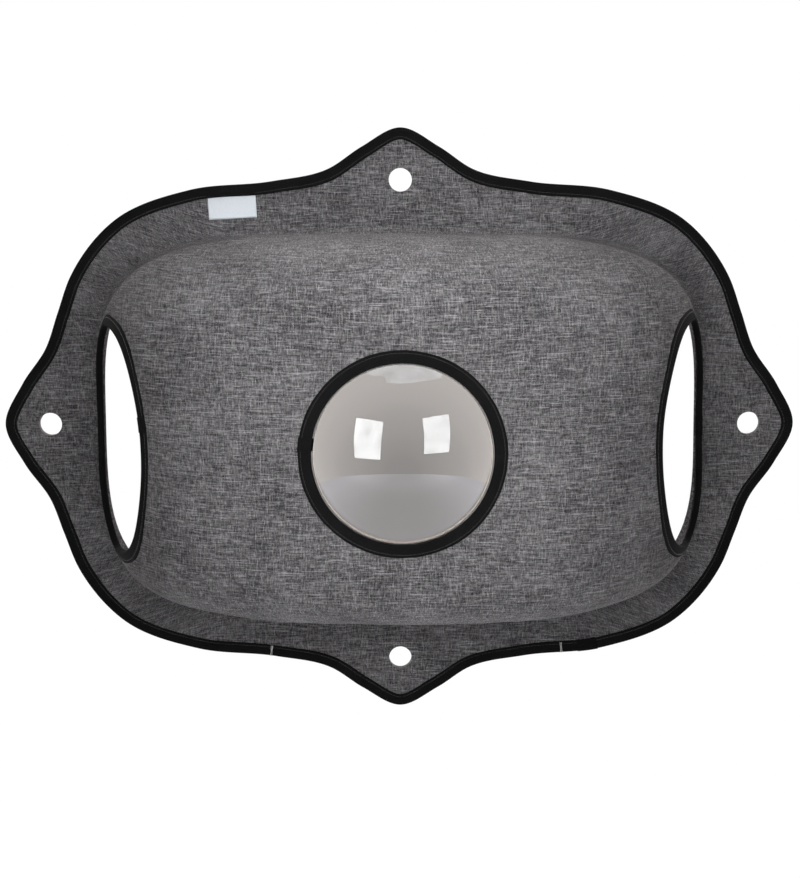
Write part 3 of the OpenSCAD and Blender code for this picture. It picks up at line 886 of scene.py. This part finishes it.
def floor_finish(name):
    """Pale floor. The camera and glass see it a plain white that keeps a share of the real light and
    shadow. A mirror sees it glow with painted shade in front of the pod and painted light to the
    sides. It lights as matt."""
    finish, tree = bare(name)
    ray = step(tree, "ShaderNodeLightPath")
    white = step(tree, "ShaderNodeEmission", {"Color": (1, 1, 1, 1), "Strength": 0.95})
    faint = step(tree, "ShaderNodeBsdfDiffuse", {"Color": (0.30, 0.30, 0.30, 1)})
    seen = step(tree, "ShaderNodeAddShader", {0: white.outputs[0], 1: faint.outputs[0]})
    spot = step(tree, "ShaderNodeSeparateXYZ", {"Vector": body_place(tree)})
    # Seen only in reflections: painted shadow in a lane in front of the pod, painted light to the sides and
    # further out
    aside = sum_of(tree, "ABSOLUTE", spot.outputs["X"])
    painted_shade_lane = remap(tree, aside, (0.1, 1.1), (0.75, 3.0), "SMOOTHSTEP")
    ahead = remap(tree, spot.outputs["Y"], (-0.65, -1.3), (0.0, 0.85), "SMOOTHSTEP")
    painted_light_and_shade = sum_of(tree, "MULTIPLY", sum_of(tree, "ADD", painted_shade_lane, ahead), 1.08)
    mirrored = step(tree, "ShaderNodeEmission", {"Color": (0.90, 0.89, 1, 1), "Strength": painted_light_and_shade})
    matt = step(tree, "ShaderNodeBsdfDiffuse", {"Color": (0.6, 0.6, 0.6, 1)})
    through = sum_of(tree, "MAXIMUM", ray.outputs["Is Camera Ray"], ray.outputs["Is Transmission Ray"])
    shown = step(tree, "ShaderNodeMixShader", {0: through, 1: matt.outputs[0], 2: seen.outputs[0]})
    shown = step(tree, "ShaderNodeMixShader", {0: ray.outputs["Is Glossy Ray"], 1: shown.outputs[0],
                                               2: mirrored.outputs[0]})
    step(tree, "ShaderNodeOutputMaterial", {"Surface": shown.outputs[0]})
    return finish


def sheet_of(name, corners, finish):
    """Flat sheet of studio gear from its corners."""
    mesh = bpy.data.meshes.new(name)
    mesh.from_pydata([tuple(c) for c in corners], [], [tuple(range(len(corners)))])
    mesh.materials.append(finish)
    obj = bpy.data.objects.new(name, mesh)
    bpy.context.scene.collection.objects.link(obj)
    return obj


def softbox(name, place, aim, size, power, spread=180):
    """Rectangular soft light at a place, turned to what it aims at, that shows in no reflection. Spread
    is the angle of its beam."""
    light = bpy.data.lights.new(name, "AREA")
    light.shape, (light.size, light.size_y), light.energy = "RECTANGLE", size, power
    light.spread = math.radians(spread)
    obj = bpy.data.objects.new(name, light)
    way = np.array(aim, float) - np.array(place, float)
    yaw, pitch = math.atan2(way[0], way[1]), math.atan2(math.hypot(way[0], way[1]), -way[2])
    obj.location, obj.rotation_euler = place, (pitch, 0, -yaw)
    obj.visible_camera = obj.visible_glossy = obj.visible_transmission = False
    bpy.context.scene.collection.objects.link(obj)


def lit_panel(name, corners, strength):
    """Panel that shows only in reflections, a little uneven like a cloth-fronted softbox."""
    finish, tree = bare(name)
    place = body_place(tree)
    level = sum_of(tree, "MULTIPLY_ADD", noise(tree, place, 3.5, 2.0), 1.1 * strength, 0.45 * strength)
    glow = step(tree, "ShaderNodeEmission", {"Color": (0.98, 0.99, 1, 1), "Strength": level})
    step(tree, "ShaderNodeOutputMaterial", {"Surface": glow.outputs[0]})
    panel = sheet_of(name, corners, finish)
    panel.visible_camera = panel.visible_diffuse = panel.visible_transmission = panel.visible_shadow = False


floor_z, floor_y, floor_r, floor_sides = -0.62, -0.5, 1.3, 96
round_floor = 2 * math.pi * np.arange(floor_sides) / floor_sides
sheet_of("floor", np.stack([floor_r * np.cos(round_floor), floor_y + floor_r * np.sin(round_floor),
                            np.full(floor_sides, floor_z)], -1), floor_finish("pale_floor"))
lit_panel("left_panel", [(-0.92, -0.94, 0.63), (-0.41, -1.29, 0.62), (-0.48, -1.42, -0.18),
                         (-0.95, -1.09, -0.15)], 17.0)
lit_panel("right_panel", [(0.42, -1.23, 0.68), (0.91, -0.90, 0.68), (0.92, -1.11, -0.04),
                          (0.46, -1.43, -0.05)], 17.0)
lit_panel("high_panel", [(-0.60, -0.22, 1.2), (-0.51, -0.37, 1.2), (-0.31, -0.45, 1.2), (-0.28, -0.64, 1.2),
                         (-0.04, -0.69, 1.2), (0.19, -0.66, 1.2), (0.48, -0.52, 1.2), (0.69, -0.34, 1.2),
                         (0.70, -0.18, 1.2), (0.30, -0.14, 1.2), (-0.30, -0.14, 1.2)], 6.4)
softbox("left_softbox", (-0.36, -0.57, 0.27), (0, -0.12, 0), (0.38, 0.56), 0.66)
softbox("right_softbox", (0.36, -0.57, 0.31), (0, -0.12, 0), (0.36, 0.54), 0.74)
softbox("front_softbox", (0, -0.52, 0.10), (0, -0.17, 0), (0.30, 0.20), 0.72)
softbox("low_softbox", (0, -0.45, -0.30), (0, -0.12, -0.11), (0.34, 0.14), 0.32)
softbox("high_softbox", (0, -0.16, 0.46), (0, -0.13, 0.10), (0.30, 0.08), 0.155, 80)
softbox("under_softbox", (0, -0.16, -0.46), (0, -0.13, -0.10), (0.40, 0.08), 0.11, 80)
softbox("top_softbox", (0, -0.35, 1.25), (0, -0.05, 0), (0.90, 0.70), 0.90)

world = bpy.context.scene.world or bpy.data.worlds.new("room")
bpy.context.scene.world = world
world.use_nodes = True
sky = world.node_tree
sky.nodes.clear()
path = step(sky, "ShaderNodeLightPath")
way = step(sky, "ShaderNodeTexCoord").outputs["Generated"]
depth_way = step(sky, "ShaderNodeSeparateXYZ", {"Vector": way}).outputs["Y"]
share = sum_of(sky, "MULTIPLY_ADD", depth_way, 0.5, 0.5)
# In reflections the room is dark low behind the camera and grows pale to the sides and up
ahead = step(sky, "ShaderNodeVectorMath", {0: way, 1: (0, -0.94, -0.34)},
             operation="DOT_PRODUCT").outputs["Value"]
ahead = sum_of(sky, "MULTIPLY_ADD", ahead, 0.5, 0.5)
room = ramp(sky, ahead, [(0.50, (1.0, 0.92, 0.85)), (0.68, (0.82, 0.75, 0.695)),
                         (0.755, (0.62, 0.565, 0.525)), (0.89, (0.38, 0.35, 0.325)),
                         (0.93, (0.26, 0.24, 0.225)), (0.965, (0.16, 0.15, 0.14)),
                         (0.985, (0.05, 0.045, 0.045)), (1.0, (0.01, 0.01, 0.01))])
fill = remap(sky, share, (0.5, 1.0), (0.055, 0.55))
open_sky = sum_of(sky, "MAXIMUM", path.outputs["Is Camera Ray"], path.outputs["Is Transmission Ray"])
shown = step(sky, "ShaderNodeMix", {"Factor": path.outputs["Is Glossy Ray"], "A": (1, 1, 1, 1), "B": room},
             data_type="RGBA").outputs[2]
shown = step(sky, "ShaderNodeMix", {"Factor": open_sky, "A": shown, "B": (1, 1, 1, 1)},
             data_type="RGBA").outputs[2]
level = step(sky, "ShaderNodeMix", {"Factor": path.outputs["Is Glossy Ray"], "A": fill, "B": 4.4},
             data_type="FLOAT").outputs[0]
level = step(sky, "ShaderNodeMix", {"Factor": open_sky, "A": level, "B": 1.0}, data_type="FLOAT").outputs[0]
glow = step(sky, "ShaderNodeBackground", {"Color": shown, "Strength": level})
step(sky, "ShaderNodeOutputWorld", {"Surface": glow.outputs[0]})

# Camera at the photograph's place: 1.37 m off, 8.1 degrees above the window's axis and 0.66 left of it
raised, aside, distance = math.radians(8.10), math.radians(-0.66), 1.37
camera = bpy.data.objects.new("camera", bpy.data.cameras.new("camera"))
bpy.context.scene.collection.objects.link(camera)
camera.location = (distance * math.cos(raised) * math.sin(aside),
                   -distance * math.cos(raised) * math.cos(aside), distance * math.sin(raised))
camera.rotation_euler = (math.pi / 2 - raised, 0, aside)
camera.data.sensor_width, camera.data.lens = 36, 64.18
picture_h = 878
camera.data.shift_x, camera.data.shift_y = -0.27 / picture_h, -16.4 / picture_h
camera.data.clip_end = 100
bpy.context.scene.camera = camera
bpy.context.scene.view_settings.view_transform = "Standard"
